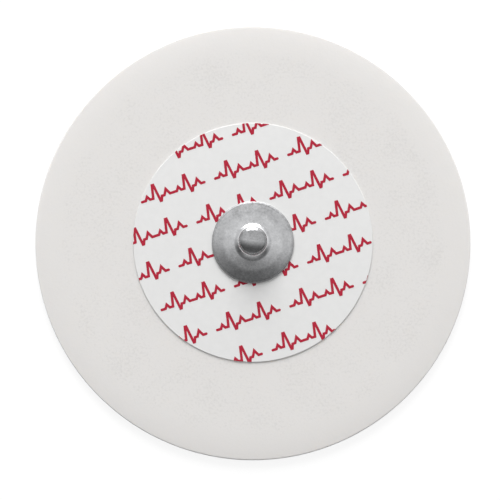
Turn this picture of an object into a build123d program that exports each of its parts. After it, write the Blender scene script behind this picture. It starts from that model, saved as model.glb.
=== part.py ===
from build123d import *
import os
from math import acos, ceil, degrees

# A round ECG electrode with a snap stud, in millimetres. +Z runs up the stud, and the origin is the
# middle of the underside. From the skin side up: a clear release liner, a foam pad with a round well,
# the gel in the well, a moulded sensor lying on the gel, a film label over the well with its print, and
# a drawn steel snap stud, which the sensor's post locks down on the label.

# Release liner
liner_thickness = 0.1

# Foam pad
pad_diameter = 60.0
foam_thickness = 1.0
shoulder_width = 4.4  # how far in from the rim the top face starts to roll down
shoulder_drop = 0.24  # how much lower the rim is than the middle
well_diameter = 18.0

# Gel
gel_side_gap = 0.3  # between the gel and the wall of the well

# Film label
label_diameter = 33.0
label_thickness = 0.15

# Snap stud, drawn from sheet: a cap with a turned-down lip, a neck and a round head
sheet_thickness = 0.25
cap_diameter = 11.3
lip_height = 0.28
lip_round = 0.27
brim_diameter = 8.0  # where the steeper outer brim meets the flatter middle of the cap
brim_rise = 0.45
root_diameter = 4.7  # where the middle of the cap starts to sweep up into the neck
middle_rise = 0.27
root_rise = 0.65
root_round = 1.1
neck_diameter = 3.3
neck_height = 0.82
neck_round = 1.2  # where the sweep of the root runs into the neck
head_diameter = 3.9
head_foot_height = 0.35
head_foot_round = 0.3
head_band = 0.5  # the straight stretch of the head that a lead's socket closes on
crown_height = 0.8
crown_round = 0.62  # where the band turns over into the dome

# Moulded sensor: a flange under the label, and a post with a bead that locks behind the neck
flange_margin = 0.15  # how far the flange reaches past the stud's lip, to clamp the label under it
flange_thickness = 0.35
flange_chamfer = 0.15
post_clearance = 0.03  # between the post and the inside of the neck
hole_clearance = 0.15  # between the post and the edge of the label's hole
bead_overhang = 0.16  # how much the bead stands out from the post
bead_rise = 0.15  # from the foot of the stud's head up to the bead
bead_height = 1.0
post_tip_chamfer = 0.25
recess_gap = 0.05  # between the flange's rim and the gel cast round it

# Print: rows of heartbeat traces that slant across the label
print_thickness = 0.02
print_edge_gap = 0.02  # between the print and the stud's lip
stroke_width = 0.36
row_pitch = 5.0
row_angle = 18.0
row_stagger = 4.2  # how far each row is shifted along from the one below
beat_length = 4.5
beats_in_trace = 2
trace_gap = 1.6  # between one trace and the next along a row
spike_height = 1.8
dip_depth = 0.6
first_wave_height = 0.5
last_wave_height = 0.75
smallest_mark = 0.15  # a trimmed end of a trace with less area than this, in mm2, is left off

# Levels, from the underside up
foam_top = liner_thickness + foam_thickness
label_top = foam_top + label_thickness
brim_level = label_top + lip_height + brim_rise
root_level = brim_level + middle_rise
neck_foot = root_level + root_rise
head_foot = neck_foot + neck_height
band_foot = head_foot + head_foot_height
band_top = band_foot + head_band

# Radii
pad_radius = pad_diameter / 2
well_radius = well_diameter / 2
label_radius = label_diameter / 2
cap_radius = cap_diameter / 2
neck_radius = neck_diameter / 2
head_radius = head_diameter / 2
flange_radius = cap_radius + flange_margin
post_radius = neck_radius - sheet_thickness - post_clearance
bead_radius = post_radius + bead_overhang

os.makedirs("parts", exist_ok=True)

# Release liner: a clear film cut with the pad
with BuildPart() as release_liner:
    with BuildSketch():
        Circle(pad_radius)
    extrude(amount=liner_thickness)

# Foam pad: a ring whose top rolls down softly at the rim, where the die has squeezed it
with BuildPart() as foam_pad:
    with BuildSketch(Plane.XZ):
        with BuildLine():
            flat = Line((well_radius, foam_top), (pad_radius - shoulder_width, foam_top))
            roll = TangentArc(flat @ 1, (pad_radius, foam_top - shoulder_drop), tangent=flat % 1)
            Polyline(roll @ 1, (pad_radius, liner_thickness), (well_radius, liner_thickness), flat @ 0)
        make_face()
    revolve(axis=Axis.Z)

# Gel: a disc that fills the well, cast round the sensor's flange
with BuildPart() as gel_pad:
    with BuildSketch(Plane.XY.offset(liner_thickness)):
        Circle(well_radius - gel_side_gap)
    extrude(amount=foam_thickness)
    with BuildSketch(Plane.XY.offset(foam_top)):
        Circle(flange_radius + recess_gap)
    extrude(amount=-flange_thickness, mode=Mode.SUBTRACT)

# Sensor: a flange with a bevelled lower edge, and a post whose bead sits in the stud's head
bead_foot = head_foot + bead_rise
with BuildPart() as sensor_eyelet:
    with BuildSketch(Plane.XZ) as sensor_section:
        with BuildLine():
            Polyline(
                (0, foam_top - flange_thickness),
                (flange_radius, foam_top - flange_thickness),
                (flange_radius, foam_top),
                (post_radius, foam_top),
                (post_radius, bead_foot),
                (bead_radius, bead_foot + bead_overhang),
                (bead_radius, bead_foot + bead_height),
                (0, bead_foot + bead_height),
                close=True,
            )
        make_face()
        flange_edge = sensor_section.vertices().group_by(Axis.X)[-1].sort_by(Axis.Y)[0]
        post_tip = sensor_section.vertices().group_by(Axis.Y)[-1].sort_by(Axis.X)[-1]
        chamfer(flange_edge, flange_chamfer)
        chamfer(post_tip, post_tip_chamfer)
    revolve(axis=Axis.Z)

# Label: a film disc with a hole for the sensor's post
with BuildPart() as top_label:
    with BuildSketch(Plane.XY.offset(foam_top)):
        Circle(label_radius)
        Circle(post_radius + hole_clearance, mode=Mode.SUBTRACT)
    extrude(amount=label_thickness)

# Snap stud: the outer face is drawn first, and an even offset of it gives the wall of the shell. The
# dome's radius is the one that meets the round at its edge smoothly and is level on the axis.
dome_edge = head_radius - crown_round
dome_radius = (dome_edge**2 + crown_height**2 - crown_round**2) / (2 * (crown_height - crown_round))
dome_start = degrees(acos(dome_edge / (dome_radius - crown_round)))
with BuildPart() as snap_stud:
    with BuildSketch(Plane.XZ):
        with BuildLine():
            FilletPolyline(
                (cap_radius, label_top),
                (cap_radius, label_top + lip_height),
                (brim_diameter / 2, brim_level),
                (root_diameter / 2, root_level),
                (neck_radius, neck_foot),
                (neck_radius, head_foot),
                (head_radius, band_foot),
                (head_radius, band_top),
                radius=(lip_round, 0, root_round, neck_round, head_foot_round, head_foot_round),
            )
            turn = CenterArc((dome_edge, band_top), crown_round, 0, arc_size=dome_start)
            TangentArc(turn @ 1, (0, band_top + crown_height), tangent=turn % 1)
            offset(amount=sheet_thickness, side=Side.LEFT)
        make_face()
    revolve(axis=Axis.Z)

# Print: one trace of joined heartbeats, given its width by an offset of its line
beat_steps = [  # share of a beat's length, and height above the row's line
    (0.12, 0),
    (0.19, first_wave_height),
    (0.26, 0),
    (0.36, 0),
    (0.44, spike_height),
    (0.48, spike_height),
    (0.56, -dip_depth),
    (0.59, -dip_depth),
    (0.64, 0),
    (0.72, 0),
    (0.81, last_wave_height),
    (0.90, 0),
]
trace_length = beats_in_trace * beat_length
with BuildSketch() as trace:
    with BuildLine():
        Polyline(
            (0, 0),
            *[
                ((beat + share) * beat_length, height)
                for beat in range(beats_in_trace)
                for share, height in beat_steps
            ],
            (trace_length, 0),
        )
        offset(amount=stroke_width / 2, kind=Kind.INTERSECTION, side=Side.BOTH)
    make_face()

# The rows run off the label's edge and under the stud, as print on a die-cut label does
trace_pitch = trace_length + trace_gap
rows = ceil(label_radius / row_pitch)
places = ceil(label_radius / trace_pitch) + 1
trace_points = [
    (place * trace_pitch + row * row_stagger % trace_pitch, row * row_pitch)
    for row in range(-rows, rows + 1)
    for place in range(-places, places + 1)
]
with BuildPart() as label_print:
    with BuildSketch(Plane.XY.offset(label_top).rotated((0, 0, row_angle)), mode=Mode.PRIVATE) as marks:
        with Locations(*trace_points):
            add(trace.sketch)
        Circle(label_radius, mode=Mode.INTERSECT)
        Circle(cap_radius + print_edge_gap, mode=Mode.SUBTRACT)
    whole_marks = marks.sketch.faces().filter_by(lambda mark: mark.area > smallest_mark)
    extrude(whole_marks, amount=print_thickness)

pieces = {
    "release_liner": release_liner,
    "foam_pad": foam_pad,
    "gel_pad": gel_pad,
    "sensor_eyelet": sensor_eyelet,
    "top_label": top_label,
    "label_print": label_print,
    "snap_stud": snap_stud,
}
for name, piece in pieces.items():
    piece.part.label = name
    export_step(piece.part, f"parts/{name}.step")
    print(name, len(piece.solids()), "solids", round(piece.part.volume, 3), "mm3", piece.part.is_valid)
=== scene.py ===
import math

import bmesh
import bpy
from bpy.props import FloatProperty, FloatVectorProperty, IntProperty, PointerProperty
from bpy.types import Operator, Panel, PropertyGroup
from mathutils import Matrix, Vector


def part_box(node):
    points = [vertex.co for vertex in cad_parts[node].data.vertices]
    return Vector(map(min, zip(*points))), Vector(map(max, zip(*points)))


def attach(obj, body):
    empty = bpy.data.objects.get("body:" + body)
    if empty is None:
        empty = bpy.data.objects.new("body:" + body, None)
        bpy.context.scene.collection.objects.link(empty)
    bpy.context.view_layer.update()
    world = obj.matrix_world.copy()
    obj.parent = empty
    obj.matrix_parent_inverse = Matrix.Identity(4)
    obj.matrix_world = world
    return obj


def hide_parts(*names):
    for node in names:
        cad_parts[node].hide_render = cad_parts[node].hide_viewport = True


bl_info = {
    "name": "ECG electrode",
    "version": (1, 0, 0),
    "blender": (4, 5, 0),
    "location": "View3D > Sidebar > Electrode",
    "description": "Models a round foam ECG electrode with a snap stud, piece by piece, and its stage",
    "category": "Add Mesh",
}

# The frame is in metres, with +Z up the stud and the origin in the middle of the underside.
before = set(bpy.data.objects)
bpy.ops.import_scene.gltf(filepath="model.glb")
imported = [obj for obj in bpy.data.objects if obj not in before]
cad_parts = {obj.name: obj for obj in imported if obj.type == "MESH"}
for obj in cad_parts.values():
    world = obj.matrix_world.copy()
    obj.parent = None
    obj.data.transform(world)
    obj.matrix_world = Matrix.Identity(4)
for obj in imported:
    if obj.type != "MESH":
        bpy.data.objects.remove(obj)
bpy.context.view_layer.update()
liner_low, liner_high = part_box("release_liner")
pad_low, pad_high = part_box("foam_pad")
gel_low, gel_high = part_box("gel_pad")
sensor_low, sensor_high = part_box("sensor_eyelet")
label_low, label_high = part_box("top_label")
stud_low, stud_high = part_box("snap_stud")

MM = 0.001
MERGE_DISTANCE = 0.0005 * MM
FIT_TOLERANCE = 0.01 * MM  # how far the drawn stud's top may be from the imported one's
SEED_SIZE = 0.01 * MM  # the plane that is merged into an outline's first point
STEPS_PER_TURN = 96  # facets in a full turn of a rounded corner
SHARP_ANGLE = math.radians(30)
SMALL_ROUND = 0.02 * MM  # round of an edge that is only just broken
CAMERA_SENSOR_WIDTH = 36  # in millimetres
CAMERA_CLIP_START = 0.01  # how near the camera still sees, in metres

# Nearly all of a noise's values lie between these two.
NOISE_LOW = 0.3
NOISE_HIGH = 0.7

# How much light the room gives from each side: how far a direction points to the room's light end, and
# the level there.
ROOM_LEVELS = (
    (-1.0, 0.3),
    (-0.64, 0.15),
    (-0.47, 0.13),
    (-0.31, 0.2),
    (-0.21, 0.35),
    (-0.07, 0.58),
    (0.05, 0.79),
    (0.35, 0.79),
    (0.61, 0.54),
    (0.82, 0.7),
    (1.0, 0.9),
)
# The room is lighter low down at its light end, and dimmer at its sides. Each comes in between two
# values of how far a direction points that way.
LOW_LIGHT_REACH = (0.1, 0.8)
SIDE_DIMMING_REACH = (0.45, 0.75)
LOW_LIGHT_ELSEWHERE = 0.25  # share of the low light that the rest of the room gets
LOW_LIGHT_POWER = 2.0  # how closely the low light keeps to the horizon


def length(name, description, default):
    """A size in metres that shows in the panel."""
    return FloatProperty(
        name=name,
        description=description,
        default=default,
        min=0,
        precision=6,
        subtype="DISTANCE",
        unit="LENGTH",
    )


def aim(name, description, default):
    """A place along an axis, in metres, that shows in the panel."""
    return FloatProperty(name=name, description=description, default=default, precision=6, unit="LENGTH")


def amount(name, description, default):
    """A plain number that shows in the panel."""
    return FloatProperty(name=name, description=description, default=default)


def colour(name, description, default):
    """A linear colour that shows in the panel."""
    return FloatVectorProperty(
        name=name, description=description, default=default, min=0, max=1, size=3, subtype="COLOR"
    )


def turn(name, description, degrees):
    """An angle, given in degrees, that shows in the panel."""
    return FloatProperty(
        name=name, description=description, default=math.radians(degrees), subtype="ANGLE"
    )


class LinerSizes(PropertyGroup):
    edge_round: length("Edge round", "Round of the liner's cut edge", 0.03 * MM)
    film_colour: colour("Film", "Tint of the clear film", (0.93, 0.95, 0.97))


class PadSizes(PropertyGroup):
    shoulder_width: length("Shoulder width", "How far in from the rim the roll starts", 4.35 * MM)
    rim_width: length("Rim width", "How far in from the rim the roll tightens", 1.95 * MM)
    shoulder_slope: turn("Shoulder slope", "Slope of the top where the roll tightens", 2.3)
    rim_slope: turn("Rim slope", "Slope of the top at the rim", 5.3)
    well_radius: length("Well radius", "Radius of the well that holds the gel", 9.0 * MM)
    rim_round: length("Rim round", "Round of the top edge of the rim", 0.16 * MM)
    underside_gap: length("Underside gap", "Sliver of air between the foam and the liner", 0.005 * MM)
    label_overlap: length("Label overlap", "How far under the label the fine rings start", 0.5 * MM)
    cell_size: length("Cell size", "Width of the foam's closed cells", 0.36 * MM)
    mottle_size: length("Mottle size", "Width of the patches of the faint mottle", 5.0 * MM)
    swell_size: length("Swell size", "Width of the broad swells in the foam's skin", 2.6 * MM)
    swell_depth: length("Swell depth", "Depth of the broad swells", 0.012 * MM)
    cut_depth: length("Cut depth", "Depth of the opened cells in the cut rim", 0.05 * MM)
    rim_reach: length("Rim reach", "How far in from the rim its vertices still count as cut", 0.02 * MM)
    # The rim's paleness is painted light: the speckle is painted paler towards the rim to stand in for
    # light there.
    rim_painted_light: amount("Rim paleness", "How much paler the speckle is at the squeezed rim", 0.13)
    foam_colour: colour("Foam", "Colour of the foam's skin", (0.775, 0.76, 0.745))


class GelSizes(PropertyGroup):
    rim_round: length("Rim round", "Round of the gel where it meets the well", 0.18 * MM)
    recess_gap: length("Recess gap", "Gap between the gel and the sensor's flange", 0.05 * MM)
    gel_colour: colour("Gel", "Tint of the gel", (0.80, 0.88, 0.92))


class SensorSizes(PropertyGroup):
    flange_thickness: length("Flange thickness", "Thickness of the sensor's flange", 0.35 * MM)
    flange_chamfer: length("Flange chamfer", "Bevel under the flange's rim", 0.15 * MM)
    post_radius: length("Post radius", "Radius of the sensor's post", 1.37 * MM)
    bead_overhang: length("Bead overhang", "How much the post's bead stands out", 0.16 * MM)
    bead_height: length("Bead height", "Height of the bead", 1.0 * MM)
    tip_chamfer: length("Tip chamfer", "Bevel of the post's tip", 0.25 * MM)
    moulded_round: length("Moulded round", "Rounds of the flange and the gate's dimple", 0.05 * MM)
    bead_round: length("Bead round", "Round of the bead's lower edge", 0.04 * MM)
    tip_round: length("Tip round", "Rounds of the post's tip", 0.08 * MM)
    gate_radius: length("Gate radius", "Radius of the moulding gate's dimple", 0.9 * MM)
    gate_depth: length("Gate depth", "Depth of the moulding gate's dimple", 0.08 * MM)
    coat_colour: colour("Coat", "Colour of the silver coat", (0.42, 0.40, 0.38))


class LabelSizes(PropertyGroup):
    hole_radius: length("Hole radius", "Radius of the hole for the sensor's post", 1.52 * MM)
    edge_round: length("Edge round", "Round of the label's cut edge", 0.05 * MM)
    film_colour: colour("Film", "Colour of the film", (0.79, 0.79, 0.785))
    ink_colour: colour("Ink", "Colour of the print", (0.44, 0.02, 0.045))


class StudSizes(PropertyGroup):
    sheet: length("Sheet", "Thickness of the sheet", 0.25 * MM)
    lip_height: length("Lip height", "Height of the turned-down lip", 0.28 * MM)
    lip_round: length("Lip round", "Round between the lip and the brim", 0.1 * MM)
    brim_radius: length("Brim radius", "Where the brim meets the flatter middle", 4.0 * MM)
    brim_rise: length("Brim rise", "Rise of the brim", 0.45 * MM)
    crease_round: length("Crease round", "Round of the crease between brim and middle", 4.0 * MM)
    root_radius: length("Root radius", "Where the cap starts to sweep up into the neck", 2.35 * MM)
    middle_rise: length("Middle rise", "Rise of the middle of the cap", 0.27 * MM)
    root_rise: length("Root rise", "Rise of the sweep", 0.65 * MM)
    root_round: length("Root round", "Round at the foot of the sweep", 1.1 * MM)
    neck_radius: length("Neck radius", "Radius of the neck", 1.65 * MM)
    neck_height: length("Neck height", "Height from the sweep to the head", 0.82 * MM)
    neck_round: length("Neck round", "Round where the sweep runs into the neck", 1.2 * MM)
    head_radius: length("Head radius", "Radius of the head", 1.95 * MM)
    head_foot_height: length("Head foot height", "Height of the cone under the head", 0.35 * MM)
    head_foot_round: length("Head foot round", "Rounds above and below that cone", 0.3 * MM)
    head_band: length("Head band", "Straight band of the head", 0.5 * MM)
    crown_height: length("Crown height", "Height of the dome above the band", 0.8 * MM)
    crown_round: length("Crown round", "Round from the band into the dome", 0.5 * MM)
    steel_colour: colour("Steel", "Colour of the steel", (0.555, 0.56, 0.57))


class StageSizes(PropertyGroup):
    floor_size: length("Floor size", "Side of the square floor", 8.0)
    floor_lightness: amount("Floor lightness", "How much light the floor throws back", 0.8)
    shadow_share: amount("Shadow share", "How much shadow the seen floor takes", 0.2)
    floor_glow: amount("Floor glow", "What the floor adds where it is seen", 0.84)
    camera_distance: length("Camera distance", "From the lens to the electrode", 1.0)
    camera_lean: turn("Camera lean", "How far the camera leans towards -Y", 4.4)
    aim_x: aim("Aim X", "Where the camera looks, from the stud's axis", -0.40 * MM)
    aim_y: aim("Aim Y", "Where the camera looks, from the stud's axis", -1.05 * MM)
    lens: amount("Lens", "Focal length in millimetres", 522.7)
    key_distance: length("Key distance", "From the main lamp to the electrode", 1.2)
    key_height: turn("Key height", "How high the main lamp stands", 29)
    key_side: turn("Key side", "How far the main lamp stands to the right of +Y", -4)
    key_width: length("Key width", "Width of the main lamp", 0.8)
    key_depth: length("Key depth", "Height of the main lamp's face", 0.65)
    key_power: amount("Key power", "Power of the main lamp in watts", 13.8)
    room_light: amount("Room light", "Level of the room's light", 1.075)
    room_turn: turn("Room turn", "How far the room's light end is turned from +Y to +X", 8)
    side_light: amount("Side light", "Share that is left of the room's light at its sides", 0.65)
    low_light: amount("Low light", "How much lighter the light end is low down", 2.0)


def pick(piece, wanted):
    """In edit mode, selects the vertices whose place is wanted, and what lies between them."""
    bpy.ops.mesh.select_all(action="DESELECT")
    mesh = bmesh.from_edit_mesh(piece.data)
    for vertex in mesh.verts:
        vertex.select_set(wanted(vertex.co))
    mesh.select_flush(True)
    bmesh.update_edit_mesh(piece.data)


def start_outline(name, radius, height):
    """Starts a piece in edit mode with one point of its outline, in the plane of X and Z."""
    bpy.ops.object.select_all(action="DESELECT")
    bpy.ops.mesh.primitive_plane_add(size=SEED_SIZE, enter_editmode=True)
    bpy.ops.mesh.merge(type="CENTER")
    bpy.ops.transform.translate(value=(radius, 0, height))
    piece = bpy.context.active_object
    piece.name = name
    return piece


def draw_line(points):
    """Extrudes the outline's selected end from the first point, where it is, through the others."""
    for (radius, height), (next_radius, next_height) in zip(points, points[1:]):
        step = (next_radius - radius, 0, next_height - height)
        bpy.ops.mesh.extrude_region_move(TRANSFORM_OT_translate={"value": step})


def draw_arc(centre_radius, centre_height, angle, steps):
    """Spins the outline's selected end about a centre, anticlockwise as seen from -Y."""
    bpy.ops.mesh.spin(steps=steps, angle=angle, center=(centre_radius, 0, centre_height), axis=(0, 1, 0))


def round_corner(piece, before, corner, after, radius):
    """Rounds one corner of an outline to a radius. The three points are (radius, height)."""
    before, corner, after = (Vector((point[0], 0, point[1])) for point in (before, corner, after))
    angle = (corner - before).angle(after - corner)
    steps = max(2, math.ceil(STEPS_PER_TURN * angle / math.tau))
    pick(piece, lambda place: (place - corner).length < MERGE_DISTANCE)
    bpy.ops.mesh.bevel(offset=radius * math.tan(angle / 2), segments=steps, affect="VERTICES")


def divide_between(piece, low, high, cuts):
    """Subdivides the stretch of an outline that is in the box from low to high, (radius, height)."""

    def in_box(place):
        across = low[0] - MERGE_DISTANCE <= place.x <= high[0] + MERGE_DISTANCE
        return across and low[1] - MERGE_DISTANCE <= place.z <= high[1] + MERGE_DISTANCE

    pick(piece, in_box)
    bpy.ops.mesh.subdivide(number_cuts=cuts)


def spin_outline(piece, steps):
    """Spins a finished outline once round Z into a skin whose seam and poles are closed."""
    bpy.ops.mesh.select_all(action="SELECT")
    bpy.ops.mesh.spin(steps=steps, angle=math.tau, center=(0, 0, 0), axis=(0, 0, 1))
    bpy.ops.mesh.select_all(action="SELECT")
    bpy.ops.mesh.remove_doubles(threshold=MERGE_DISTANCE)
    bpy.ops.mesh.normals_make_consistent(inside=False)
    bpy.ops.object.mode_set(mode="OBJECT")


def draw_outline(name, corners):
    """Draws an outline through corners, each (radius, height, round), and rounds those with a round."""
    points = [corner[:2] for corner in corners]
    piece = start_outline(name, *points[0])
    draw_line(points)
    for before, corner, after in zip(corners, corners[1:], corners[2:]):
        if corner[2] > 0:
            round_corner(piece, before, corner, after, corner[2])
    return piece


def apply_modifier(kind, name, **settings):
    """Adds a modifier to the active piece, sets it and applies it."""
    bpy.ops.object.modifier_add(type=kind)
    modifier = bpy.context.active_object.modifiers[-1]
    modifier.name = name
    for setting, value in settings.items():
        setattr(modifier, setting, value)
    bpy.ops.object.modifier_apply(modifier=name)


def finish_piece(piece, material, node):
    """Smooths a piece, gives it its finish and puts it in the place of its CAD node."""
    bpy.ops.object.shade_smooth_by_angle(angle=SHARP_ANGLE)
    piece.data.name = piece.name
    piece.data.materials.append(material)
    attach(piece, "root")
    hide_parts(node)


def start_material(name, base_colour, roughness):
    """A material with its plain look, its node tree and its shader, to build on."""
    material = bpy.data.materials.new(name)
    material.use_nodes = True
    shader = material.node_tree.nodes["Principled BSDF"]
    shader.inputs["Base Color"].default_value = (*base_colour, 1)
    shader.inputs["Roughness"].default_value = roughness
    return material, material.node_tree, shader


def add_node(tree, kind, settings=None, **inputs):
    """Adds a node. An input is a plain value or another node's output; underscores stand for spaces."""
    node = tree.nodes.new(kind)
    for setting, value in (settings or {}).items():
        setattr(node, setting, value)
    for socket, value in inputs.items():
        target = node.inputs[socket.replace("_", " ")]
        if isinstance(value, bpy.types.NodeSocket):
            tree.links.new(value, target)
        else:
            target.default_value = value
    return node


def add_noise(tree, place, size, detail=2.0, roughness=0.5):
    """Noise from 0 to 1 whose features are about size wide, in metres."""
    noise = add_node(
        tree, "ShaderNodeTexNoise", Vector=place, Scale=1 / size, Detail=detail, Roughness=roughness
    )
    return noise.outputs["Fac"]


def add_range(tree, value, low, high, to_low, to_high):
    """Maps a value between low and high to a new range, and holds it there."""
    node = add_node(tree, "ShaderNodeMapRange", Value=value)
    node.inputs["From Min"].default_value = low
    node.inputs["From Max"].default_value = high
    node.inputs["To Min"].default_value = to_low
    node.inputs["To Max"].default_value = to_high
    return node.outputs["Result"]


def add_math(tree, operation, first, second):
    """One step of arithmetic between two outputs or values."""
    node = tree.nodes.new("ShaderNodeMath")
    node.operation = operation
    for socket, value in zip(node.inputs, (first, second)):
        if isinstance(value, bpy.types.NodeSocket):
            tree.links.new(value, socket)
        else:
            socket.default_value = value
    return node.outputs["Value"]


def add_blend(tree, first, second, share):
    """A blend of two outputs, in which the second has the given share."""
    first_part = add_math(tree, "MULTIPLY", first, 1 - share)
    second_part = add_math(tree, "MULTIPLY", second, share)
    return add_math(tree, "ADD", first_part, second_part)


def add_place(tree):
    """Where a point is on the electrode, in metres."""
    return add_node(tree, "ShaderNodeTexCoord").outputs["Object"]


def add_radius(tree, place):
    """How far a place is from the stud's axis."""
    across = add_node(tree, "ShaderNodeVectorMath", {"operation": "MULTIPLY"})
    tree.links.new(place, across.inputs[0])
    across.inputs[1].default_value = (1, 1, 0)
    radius = add_node(tree, "ShaderNodeVectorMath", {"operation": "LENGTH"})
    tree.links.new(across.outputs["Vector"], radius.inputs[0])
    return radius.outputs["Value"]


def add_tint(tree, shader, share, base_colour, low, high):
    """Gives a shader its base colour, from low to high times as light as share goes from 0 to 1."""
    level = add_range(tree, share, 0, 1, low, high)
    tint = add_node(tree, "ShaderNodeVectorMath", {"operation": "SCALE"}, Scale=level)
    tint.inputs[0].default_value = base_colour
    tree.links.new(tint.outputs["Vector"], shader.inputs["Base Color"])


def add_roughness(tree, shader, noise, low, high):
    """Makes a shader's roughness go from low to high with a noise."""
    roughness = add_range(tree, noise, NOISE_LOW, NOISE_HIGH, low, high)
    tree.links.new(roughness, shader.inputs["Roughness"])


def add_bump(tree, shader, height, depth):
    """Bumps a shader's normal by a height from 0 to 1 that is depth deep, in metres."""
    bump = add_node(tree, "ShaderNodeBump", Height=height, Distance=depth, Strength=1.0)
    tree.links.new(bump.outputs["Normal"], shader.inputs["Normal"])


def foam_finish(sizes):
    """Matt white foam: fine closed cells with a faint speckle, painted paler towards the rim as painted
    light.
    """
    speckle_spread = 0.225
    material, tree, shader = start_material("Closed-cell foam", sizes.foam_colour, roughness=0.85)
    shader.inputs["Specular IOR Level"].default_value = 0.25
    shader.inputs["Subsurface Weight"].default_value = 0.35
    shader.inputs["Subsurface Radius"].default_value = (1.0, 0.96, 0.9)
    shader.inputs["Subsurface Scale"].default_value = 0.6 * MM
    place = add_place(tree)
    cells = add_node(tree, "ShaderNodeTexVoronoi", Vector=place, Scale=1 / sizes.cell_size)
    grain = add_noise(tree, place, sizes.cell_size, detail=3.0, roughness=0.6)
    mottle = add_noise(tree, place, sizes.mottle_size)
    mix = add_blend(tree, grain, mottle, share=0.3)
    speckle = add_range(tree, mix, 0, 1, 1 - speckle_spread, 1 + speckle_spread)
    shoulder = pad_high.x - sizes.shoulder_width
    # Painted light: the foam is painted paler over the last stretch before its rim.
    painted_rim_light = add_range(tree, add_radius(tree, place), shoulder, pad_high.x, 0, sizes.rim_painted_light)
    # The tint stops at the foam's own colour, so the speckle only darkens it.
    lightness = add_math(tree, "ADD", speckle, painted_rim_light)
    add_tint(tree, shader, lightness, sizes.foam_colour, low=0, high=1)
    relief = add_math(tree, "ADD", cells.outputs["Distance"], grain)
    add_bump(tree, shader, relief, depth=0.004 * MM)
    return material


def film_finish(sizes):
    """Satin film with a faint orange-peel."""
    material, tree, shader = start_material("Satin label film", sizes.film_colour, roughness=0.42)
    shader.inputs["Specular IOR Level"].default_value = 0.35
    place = add_place(tree)
    peel = add_noise(tree, place, size=0.9 * MM, detail=3.0)
    grain = add_noise(tree, place, size=0.25 * MM)
    add_tint(tree, shader, peel, sizes.film_colour, low=0.965, high=1.035)
    add_roughness(tree, shader, grain, low=0.38, high=0.5)
    add_bump(tree, shader, add_math(tree, "ADD", peel, grain), depth=0.0015 * MM)
    return material


def ink_finish(sizes):
    """Flat red ink, a little uneven where it was pressed on."""
    material, tree, shader = start_material("Dark red ink", sizes.ink_colour, roughness=0.6)
    shader.inputs["Specular IOR Level"].default_value = 0.15
    patches = add_noise(tree, add_place(tree), size=0.45 * MM, detail=4.0, roughness=0.7)
    add_tint(tree, shader, patches, sizes.ink_colour, low=0.8, high=1.2)
    add_roughness(tree, shader, patches, low=0.52, high=0.7)
    add_bump(tree, shader, patches, depth=0.003 * MM)
    return material


def steel_finish(sizes, lip_top, brim_level, root_level, neck_foot, crown_foot):
    """Tumbled steel: a satin cap, a dull lip and neck, a smooth dome; painted light on the sweep,
    painted shade on lip, neck and head.
    """
    cap_roughness = 0.18
    dome_roughness = 0.1
    scuffed_roughness = 0.42
    roughness_wander = 0.03
    scuff_painted_shade = 0.22
    # Painted shade: everything above the neck, the dome included, is painted darker to dim its
    # reflections.
    head_painted_shade = 0.13
    sweep_painted_light = 0.2
    # Heights between which one look gives way to the next.
    lip_end, brim_start = lip_top + 0.02 * MM, lip_top + 0.12 * MM
    sweep_light_start, sweep_light_full = brim_level - 0.1 * MM, root_level + 0.1 * MM
    head_start = neck_foot - 0.3 * MM
    scuffed_and_shaded_end, dome_start = crown_foot + 0.35 * MM, crown_foot + 0.5 * MM

    material, tree, shader = start_material("Tumbled steel", sizes.steel_colour, roughness=0.3)
    shader.inputs["Metallic"].default_value = 1.0
    place = add_place(tree)
    grain = add_noise(tree, place, size=0.3 * MM, detail=3.0, roughness=0.6)
    mottle = add_noise(tree, place, size=1.1 * MM, detail=3.0)
    height = add_node(tree, "ShaderNodeSeparateXYZ", Vector=place).outputs["Z"]
    on_lip = add_range(tree, height, lip_end, brim_start, 1, 0)
    on_head = add_range(tree, height, head_start, neck_foot, 0, 1)
    below_dome = add_range(tree, height, scuffed_and_shaded_end, dome_start, 1, 0)
    # Mask of the lip and of the neck and head's side: rougher there, and painted darker as painted shade
    # that dims their reflections.
    scuffed_and_shaded = add_math(tree, "MAXIMUM", on_lip, add_math(tree, "MINIMUM", on_head, below_dome))

    satin = add_range(tree, height, neck_foot, crown_foot, cap_roughness, dome_roughness)
    dull = add_math(tree, "MULTIPLY", scuffed_and_shaded, scuffed_roughness)
    wander = add_range(tree, grain, NOISE_LOW, NOISE_HIGH, -roughness_wander, roughness_wander)
    roughness = add_math(tree, "ADD", add_math(tree, "MAXIMUM", satin, dull), wander)
    tree.links.new(roughness, shader.inputs["Roughness"])

    # Painted light: the cap's colour is painted paler up the sweep to the neck, to brighten its
    # reflections there.
    sweep_light_rising = add_range(tree, height, sweep_light_start, root_level, 0, sweep_painted_light)
    sweep_light_falling = add_range(tree, height, sweep_light_full, neck_foot, sweep_painted_light, 0)
    painted_sweep_light = add_math(tree, "MINIMUM", sweep_light_rising, sweep_light_falling)
    # Painted shade: the lip and the neck and head's side are painted darker, to dim their reflections.
    scuff_painted_shading = add_math(tree, "MULTIPLY", scuffed_and_shaded, scuff_painted_shade)
    painted_shade = add_math(tree, "ADD", scuff_painted_shading, add_math(tree, "MULTIPLY", on_head, head_painted_shade))
    speckle = add_blend(tree, grain, mottle, share=0.5)
    shade = add_math(tree, "SUBTRACT", add_math(tree, "ADD", speckle, painted_sweep_light), painted_shade)
    add_tint(tree, shader, shade, sizes.steel_colour, low=0.4, high=1.6)
    add_bump(tree, shader, grain, depth=0.002 * MM)
    return material


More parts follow.
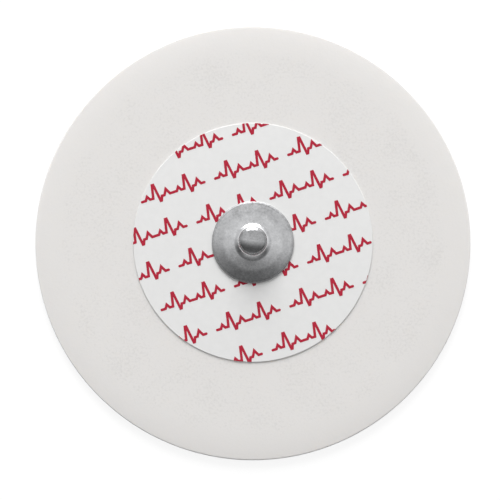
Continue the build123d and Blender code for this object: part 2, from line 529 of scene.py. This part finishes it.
def coat_finish(sizes):
    """The sensor's silver coat: grey, matt and slightly grainy."""
    material, tree, shader = start_material("Silver coat", sizes.coat_colour, roughness=0.45)
    shader.inputs["Metallic"].default_value = 0.6
    grain = add_noise(tree, add_place(tree), size=0.15 * MM, detail=4.0, roughness=0.7)
    add_tint(tree, shader, grain, sizes.coat_colour, low=0.8, high=1.2)
    add_roughness(tree, shader, grain, low=0.38, high=0.55)
    add_bump(tree, shader, grain, depth=0.004 * MM)
    return material


def gel_finish(sizes):
    """Wet, nearly clear gel with a faint cloudiness."""
    material, tree, shader = start_material("Conductive gel", sizes.gel_colour, roughness=0.08)
    shader.inputs["IOR"].default_value = 1.38
    shader.inputs["Transmission Weight"].default_value = 0.85
    cloud = add_noise(tree, add_place(tree), size=2.4 * MM, detail=3.0)
    add_tint(tree, shader, cloud, sizes.gel_colour, low=0.96, high=1.04)
    add_roughness(tree, shader, cloud, low=0.05, high=0.14)
    add_bump(tree, shader, cloud, depth=0.02 * MM)
    return material


def liner_finish(sizes):
    """Clear, glossy film with faint rolling lines."""
    material, tree, shader = start_material("Clear liner film", sizes.film_colour, roughness=0.06)
    shader.inputs["IOR"].default_value = 1.5
    shader.inputs["Transmission Weight"].default_value = 1.0
    stretched = add_node(tree, "ShaderNodeMapping", Vector=add_place(tree), Scale=(1.0, 0.12, 1.0))
    lines = add_noise(tree, stretched.outputs["Vector"], size=1.6 * MM)
    add_roughness(tree, shader, lines, low=0.04, high=0.1)
    add_bump(tree, shader, lines, depth=0.004 * MM)
    return material


class ELECTRODE_OT_release_liner(Operator):
    """Model the clear release liner under the adhesive"""

    bl_idname = "electrode.release_liner"
    bl_label = "Release liner"
    spin_steps: IntProperty(name="Steps", description="Steps round the liner", default=256)

    def execute(self, context):
        sizes = context.scene.electrode_liner
        radius = liner_high.x
        piece = draw_outline(
            "clear_liner",
            [
                (0, liner_low.z, 0),
                (radius, liner_low.z, sizes.edge_round),
                (radius, liner_high.z, sizes.edge_round),
                (0, liner_high.z, 0),
            ],
        )
        spin_outline(piece, self.spin_steps)
        finish_piece(piece, liner_finish(sizes), "release_liner")
        return {"FINISHED"}


class ELECTRODE_OT_foam_pad(Operator):
    """Model the foam pad with its rolled shoulder, its well and its cut rim"""

    bl_idname = "electrode.foam_pad"
    bl_label = "Foam pad"
    spin_steps: IntProperty(name="Steps", description="Steps round the pad", default=720)
    top_cuts: IntProperty(name="Top cuts", description="Rings across the flat of the top", default=26)
    roll_steps: IntProperty(name="Roll steps", description="Rings across each arc of roll", default=7)
    rim_cuts: IntProperty(name="Rim cuts", description="Rings up the cut rim", default=5)

    def execute(self, context):
        sizes = context.scene.electrode_pad
        radius = pad_high.x
        under = pad_low.z + sizes.underside_gap
        top = pad_high.z
        shoulder = radius - sizes.shoulder_width
        under_label = label_high.x - sizes.label_overlap
        piece = start_outline("foam_ring", shoulder, top)
        gentle_radius = (sizes.shoulder_width - sizes.rim_width) / math.sin(sizes.shoulder_slope)
        draw_arc(shoulder, top - gentle_radius, -sizes.shoulder_slope, self.roll_steps)
        tight_radius = sizes.rim_width / (math.sin(sizes.rim_slope) - math.sin(sizes.shoulder_slope))
        tight_centre = (
            shoulder + (gentle_radius - tight_radius) * math.sin(sizes.shoulder_slope),
            top - gentle_radius + (gentle_radius - tight_radius) * math.cos(sizes.shoulder_slope),
        )
        draw_arc(*tight_centre, sizes.shoulder_slope - sizes.rim_slope, self.roll_steps)
        rim_top = tight_centre[1] + tight_radius * math.cos(sizes.rim_slope)
        middle = (sizes.well_radius + radius) / 2
        draw_line([(radius, rim_top), (radius, under), (middle, under), (sizes.well_radius, under)])
        draw_line([(sizes.well_radius, under), (sizes.well_radius, top), (under_label, top)])
        draw_line([(under_label, top), (shoulder, top)])
        divide_between(piece, (under_label, top), (shoulder, top), self.top_cuts)
        before_rim = (radius - MM, rim_top + MM * math.tan(sizes.rim_slope))  # 1 mm up the slope
        round_corner(piece, before_rim, (radius, rim_top), (radius, under), sizes.rim_round)
        divide_between(piece, (radius, under), (radius, rim_top), self.rim_cuts)
        spin_outline(piece, self.spin_steps)
        self.mark_rim(piece, radius - sizes.rim_reach)
        swells = bpy.data.textures.new("Foam swells", "CLOUDS")
        swells.noise_scale = sizes.swell_size
        cut_cells = bpy.data.textures.new("Cut cells", "CLOUDS")
        cut_cells.noise_scale = sizes.cell_size
        inwards = {"mid_level": 1.0, "texture_coords": "LOCAL"}
        apply_modifier("DISPLACE", "Swells", texture=swells, strength=sizes.swell_depth, **inwards)
        apply_modifier(
            "DISPLACE", "Cut", texture=cut_cells, strength=sizes.cut_depth, vertex_group="Rim", **inwards
        )
        finish_piece(piece, foam_finish(sizes), "foam_pad")
        return {"FINISHED"}

    def mark_rim(self, piece, inner_radius):
        """Puts the vertices of the cut rim, those beyond a radius, in a vertex group."""
        bpy.ops.object.mode_set(mode="EDIT")
        pick(piece, lambda place: place.xy.length > inner_radius)
        bpy.ops.object.vertex_group_add()
        bpy.ops.object.vertex_group_assign()
        piece.vertex_groups.active.name = "Rim"
        bpy.ops.object.mode_set(mode="OBJECT")


class ELECTRODE_OT_gel_disc(Operator):
    """Model the gel disc that fills the well and is cast round the sensor's flange"""

    bl_idname = "electrode.gel_disc"
    bl_label = "Gel disc"
    spin_steps: IntProperty(name="Steps", description="Steps round the gel", default=160)

    def execute(self, context):
        sizes = context.scene.electrode_gel
        sensor = context.scene.electrode_sensor
        under = gel_low.z + context.scene.electrode_pad.underside_gap
        recess_radius = sensor_high.x + sizes.recess_gap
        recess_floor = gel_high.z - sensor.flange_thickness
        piece = draw_outline(
            "gel_disc",
            [
                (0, under, 0),
                (gel_high.x, under, sizes.rim_round),
                (gel_high.x, gel_high.z, sizes.rim_round),
                (recess_radius, gel_high.z, 0),
                (recess_radius, recess_floor, 0),
                (0, recess_floor, 0),
            ],
        )
        spin_outline(piece, self.spin_steps)
        finish_piece(piece, gel_finish(sizes), "gel_pad")
        return {"FINISHED"}


class ELECTRODE_OT_sensor(Operator):
    """Model the moulded sensor: its flange, its post and the bead that holds the stud"""

    bl_idname = "electrode.sensor"
    bl_label = "Sensor"
    spin_steps: IntProperty(name="Steps", description="Steps round the sensor", default=128)

    def execute(self, context):
        sizes = context.scene.electrode_sensor
        flange_radius = sensor_high.x
        flange_low = sensor_low.z
        flange_top = flange_low + sizes.flange_thickness
        post_radius = sizes.post_radius
        bead_radius = post_radius + sizes.bead_overhang
        top = sensor_high.z
        bead_foot = top - sizes.bead_height
        moulded_round = sizes.moulded_round
        piece = draw_outline(
            "sensor_post",
            [
                (0, flange_low + sizes.gate_depth, 0),
                (sizes.gate_radius - sizes.gate_depth, flange_low + sizes.gate_depth, moulded_round),
                (sizes.gate_radius, flange_low, moulded_round),
                (flange_radius - sizes.flange_chamfer, flange_low, moulded_round),
                (flange_radius, flange_low + sizes.flange_chamfer, moulded_round),
                (flange_radius, flange_top, SMALL_ROUND),
                (post_radius, flange_top, 0),
                (post_radius, bead_foot, 0),
                (bead_radius, bead_foot + sizes.bead_overhang, sizes.bead_round),
                (bead_radius, top - sizes.tip_chamfer, sizes.tip_round),
                (bead_radius - sizes.tip_chamfer, top, sizes.tip_round),
                (0, top, 0),
            ],
        )
        spin_outline(piece, self.spin_steps)
        finish_piece(piece, coat_finish(sizes), "sensor_eyelet")
        return {"FINISHED"}


class ELECTRODE_OT_label(Operator):
    """Model the film label and give the print its ink"""

    bl_idname = "electrode.label"
    bl_label = "Label and print"
    spin_steps: IntProperty(name="Steps", description="Steps round the label", default=256)

    def execute(self, context):
        sizes = context.scene.electrode_label
        radius = label_high.x
        middle = (sizes.hole_radius + radius) / 2
        piece = draw_outline(
            "film_label",
            [
                (middle, label_low.z, 0),
                (radius, label_low.z, SMALL_ROUND),
                (radius, label_high.z, sizes.edge_round),
                (sizes.hole_radius, label_high.z, SMALL_ROUND),
                (sizes.hole_radius, label_low.z, SMALL_ROUND),
                (middle, label_low.z, 0),
            ],
        )
        spin_outline(piece, self.spin_steps)
        finish_piece(piece, film_finish(sizes), "top_label")
        ink = ink_finish(sizes)
        print_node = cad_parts["label_print"]
        for holder in print_node.material_slots:
            holder.material = ink
        return {"FINISHED"}


class ELECTRODE_OT_snap_stud(Operator):
    """Model the drawn steel stud as a shell of even thickness"""

    bl_idname = "electrode.snap_stud"
    bl_label = "Snap stud"
    spin_steps: IntProperty(name="Steps", description="Steps round the stud", default=144)
    dome_steps: IntProperty(name="Dome steps", description="Rings across the dome", default=10)
    crown_steps: IntProperty(name="Crown steps", description="Rings up the crown's round", default=10)

    def execute(self, context):
        sizes = context.scene.electrode_stud
        foot = stud_low.z
        lip_top = foot + sizes.lip_height
        brim_level = lip_top + sizes.brim_rise
        root_level = brim_level + sizes.middle_rise
        neck_foot = root_level + sizes.root_rise
        head_foot = neck_foot + sizes.neck_height
        band_foot = head_foot + sizes.head_foot_height
        band_top = band_foot + sizes.head_band
        top = band_top + sizes.crown_height
        if abs(top - stud_high.z) > FIT_TOLERANCE:
            raise RuntimeError(f"the stud drawn here is {top} high, and the packed one {stud_high.z}")
        piece = draw_outline(
            "steel_stud",
            [
                (stud_high.x, foot, 0),
                (stud_high.x, lip_top, sizes.lip_round),
                (sizes.brim_radius, brim_level, sizes.crease_round),
                (sizes.root_radius, root_level, sizes.root_round),
                (sizes.neck_radius, neck_foot, sizes.neck_round),
                (sizes.neck_radius, head_foot, sizes.head_foot_round),
                (sizes.head_radius, band_foot, sizes.head_foot_round),
                (sizes.head_radius, band_top, 0),
            ],
        )
        pick(piece, lambda place: place.z > band_top - MERGE_DISTANCE)
        self.draw_crown(sizes, band_top, top)
        spin_outline(piece, self.spin_steps)
        inwards = {"offset": -1, "use_even_offset": True, "use_quality_normals": True}
        apply_modifier("SOLIDIFY", "Wall", thickness=sizes.sheet, **inwards)
        steel = steel_finish(sizes, lip_top, brim_level, root_level, neck_foot, band_top)
        finish_piece(piece, steel, "snap_stud")
        return {"FINISHED"}

    def draw_crown(self, sizes, band_top, top):
        """Draws the crown's round and the dome that meets it smoothly and is level on the axis."""
        edge = sizes.head_radius - sizes.crown_round
        rise = sizes.crown_height
        dome_radius = (edge**2 + rise**2 - sizes.crown_round**2) / (2 * (rise - sizes.crown_round))
        crown_angle = math.acos(edge / (dome_radius - sizes.crown_round))
        draw_arc(edge, band_top, crown_angle, self.crown_steps)
        draw_arc(0, top - dome_radius, math.pi / 2 - crown_angle, self.dome_steps)


def floor_finish(stage):
    """A pale floor that is seen as white and keeps the electrode's shadow."""
    own = stage.floor_lightness
    material, tree, shader = start_material("Pale floor", (own, own, own), roughness=0.9)
    shader.inputs["Specular IOR Level"].default_value = 0.0
    rays = add_node(tree, "ShaderNodeLightPath").outputs
    seen = add_math(tree, "ADD", rays["Is Camera Ray"], rays["Is Glossy Ray"])
    seen = add_math(tree, "ADD", seen, rays["Is Transmission Ray"])
    seen = add_math(tree, "MINIMUM", seen, 1.0)
    shader.inputs["Emission Color"].default_value = (1, 1, 1, 1)
    glow = add_math(tree, "MULTIPLY", seen, stage.floor_glow)
    tree.links.new(glow, shader.inputs["Emission Strength"])
    level = add_range(tree, seen, 0, 1, own, stage.shadow_share)
    grey = add_node(tree, "ShaderNodeCombineColor", Red=level, Green=level, Blue=level)
    tree.links.new(grey.outputs["Color"], shader.inputs["Base Color"])
    return material


def light_room(context, stage):
    """Lights the room from all round, darkest from the -Y side and lightest from low at +Y."""
    world = bpy.data.worlds.new("Soft room")
    world.use_nodes = True
    tree = world.node_tree
    direction = add_node(tree, "ShaderNodeTexCoord").outputs["Generated"]
    light_end = add_node(tree, "ShaderNodeVectorMath", {"operation": "DOT_PRODUCT"})
    tree.links.new(direction, light_end.inputs[0])
    light_end.inputs[1].default_value = (math.sin(stage.room_turn), math.cos(stage.room_turn), 0)
    facing = light_end.outputs["Value"]

    ramp = add_node(tree, "ShaderNodeValToRGB", Fac=add_range(tree, facing, -1, 1, 0, 1))
    brightest = max(level for _, level in ROOM_LEVELS)
    stops = ramp.color_ramp.elements
    while len(stops) < len(ROOM_LEVELS):
        stops.new(0.5)  # its own place is set below
    for stop, (side, level) in zip(stops, ROOM_LEVELS):
        share = level / brightest
        stop.position = (side + 1) / 2
        stop.color = (share, share, share, 1)
    light = add_math(tree, "MULTIPLY", ramp.outputs["Color"], brightest * stage.room_light)

    parts = add_node(tree, "ShaderNodeSeparateXYZ", Vector=direction).outputs
    sideways = add_math(tree, "ABSOLUTE", parts["X"], 0)
    beside = add_range(tree, sideways, *SIDE_DIMMING_REACH, 1, stage.side_light)
    light = add_math(tree, "MULTIPLY", light, beside)

    up = add_math(tree, "MAXIMUM", parts["Z"], 0)
    lowness = add_math(tree, "POWER", add_math(tree, "SUBTRACT", 1, up), LOW_LIGHT_POWER)
    elsewhere = stage.low_light * LOW_LIGHT_ELSEWHERE
    low_light = add_range(tree, facing, *LOW_LIGHT_REACH, elsewhere, stage.low_light)
    gain = add_math(tree, "ADD", add_math(tree, "MULTIPLY", lowness, low_light), 1)
    background = tree.nodes["Background"]
    background.inputs["Color"].default_value = (1, 1, 1, 1)
    tree.links.new(add_math(tree, "MULTIPLY", light, gain), background.inputs["Strength"])
    context.scene.world = world


class ELECTRODE_OT_stage(Operator):
    """Set the floor, the room's light, the main lamp and the camera"""

    bl_idname = "electrode.stage"
    bl_label = "Stage"

    def execute(self, context):
        stage = context.scene.electrode_stage
        bpy.ops.object.select_all(action="DESELECT")
        bpy.ops.mesh.primitive_plane_add(size=stage.floor_size)
        floor = context.active_object
        floor.name = "studio_floor"
        floor.data.materials.append(floor_finish(stage))
        light_room(context, stage)
        self.add_key(context, stage)
        self.add_camera(context, stage)
        context.scene.view_settings.view_transform = "Standard"
        return {"FINISHED"}

    def add_key(self, context, stage):
        """Hangs the main lamp beyond +Y, facing the electrode."""
        across = math.cos(stage.key_height) * stage.key_distance
        place = Vector(
            (
                across * math.sin(stage.key_side),
                across * math.cos(stage.key_side),
                math.sin(stage.key_height) * stage.key_distance,
            )
        )
        rotation = place.to_track_quat("Z", "Y").to_euler()
        bpy.ops.object.light_add(type="AREA", location=place, rotation=rotation)
        lamp = context.active_object.data
        lamp.shape = "RECTANGLE"
        lamp.size = stage.key_width
        lamp.size_y = stage.key_depth
        lamp.energy = stage.key_power

    def add_camera(self, context, stage):
        """Sets the camera above the electrode, leaning towards -Y, with +Y at the top of its frame."""
        across = math.sin(stage.camera_lean) * stage.camera_distance
        up = math.cos(stage.camera_lean) * stage.camera_distance
        place = (stage.aim_x, stage.aim_y - across, label_high.z + up)
        bpy.ops.object.camera_add(location=place, rotation=(stage.camera_lean, 0, 0))
        camera = context.active_object
        camera.data.lens = stage.lens
        camera.data.sensor_width = CAMERA_SENSOR_WIDTH
        camera.data.clip_start = CAMERA_CLIP_START
        context.scene.camera = camera


class VIEW3D_PT_electrode(Panel):
    """Panel that makes the electrode piece by piece"""

    bl_label = "ECG electrode"
    bl_space_type = "VIEW_3D"
    bl_region_type = "UI"
    bl_category = "Electrode"

    def draw(self, context):
        for operator, group in STEPS:
            box = self.layout.box()
            box.operator(operator.bl_idname)
            sizes = getattr(context.scene, group)
            for size in sizes.bl_rna.properties:
                if size.identifier not in ("name", "rna_type"):
                    box.prop(sizes, size.identifier)


GROUPS = {
    "electrode_liner": LinerSizes,
    "electrode_pad": PadSizes,
    "electrode_gel": GelSizes,
    "electrode_sensor": SensorSizes,
    "electrode_label": LabelSizes,
    "electrode_stud": StudSizes,
    "electrode_stage": StageSizes,
}
STEPS = [
    (ELECTRODE_OT_stage, "electrode_stage"),
    (ELECTRODE_OT_release_liner, "electrode_liner"),
    (ELECTRODE_OT_foam_pad, "electrode_pad"),
    (ELECTRODE_OT_gel_disc, "electrode_gel"),
    (ELECTRODE_OT_sensor, "electrode_sensor"),
    (ELECTRODE_OT_label, "electrode_label"),
    (ELECTRODE_OT_snap_stud, "electrode_stud"),
]


def register():
    for name, group in GROUPS.items():
        bpy.utils.register_class(group)
        setattr(bpy.types.Scene, name, PointerProperty(type=group))
    for operator, _ in STEPS:
        bpy.utils.register_class(operator)
    bpy.utils.register_class(VIEW3D_PT_electrode)


def unregister():
    bpy.utils.unregister_class(VIEW3D_PT_electrode)
    for operator, _ in reversed(STEPS):
        bpy.utils.unregister_class(operator)
    for name, group in reversed(GROUPS.items()):
        delattr(bpy.types.Scene, name)
        bpy.utils.unregister_class(group)


def main():
    """Makes the whole electrode."""
    register()
    for operator, _ in STEPS:
        module, name = operator.bl_idname.split(".")
        getattr(getattr(bpy.ops, module), name)()


if __name__ == "__main__":
    main()
